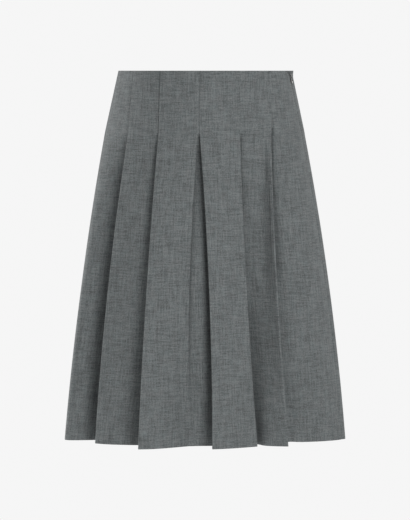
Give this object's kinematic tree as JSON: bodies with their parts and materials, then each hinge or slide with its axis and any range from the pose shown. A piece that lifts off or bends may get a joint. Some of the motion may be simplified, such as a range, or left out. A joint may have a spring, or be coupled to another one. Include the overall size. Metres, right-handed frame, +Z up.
{
  "type": "a-line skirt",
  "caption": "Knee-length A-line skirt with stitched-down pleats that open below the hips, a plain waist edge and a side zip, filled out as if worn.",
  "frame": {"origin": "centre of the waist opening, level with the waist edge", "axes": "+Z up, the front faces -Y, and the zip is in the side seam at +X, the wearer's left"},
  "size_m": [0.4198, 0.2597, 0.5542],
  "materials": {
    "wool": "matt grey wool with a fine broken streak",
    "zip_tape": "matt woven tape",
    "zip_metal": "bright metal"
  },
  "bodies": {
    "skirt": {"front_panel": "wool", "back_panel": "wool", "zip_tape_front": "zip_tape", "zip_tape_back": "zip_tape", "zip_slider": "zip_metal"},
    "pull": {"zip_pull": "zip_metal"}
  },
  "joints": [
    {"name": "pull_swing", "type": "hinge", "parent": "skirt", "child": "pull", "pos_m": [0.13004, -0.01976, -0.00842], "axis": [-0.2557, -0.966, -0.0389], "range_deg": [0, 120]}
  ]
}
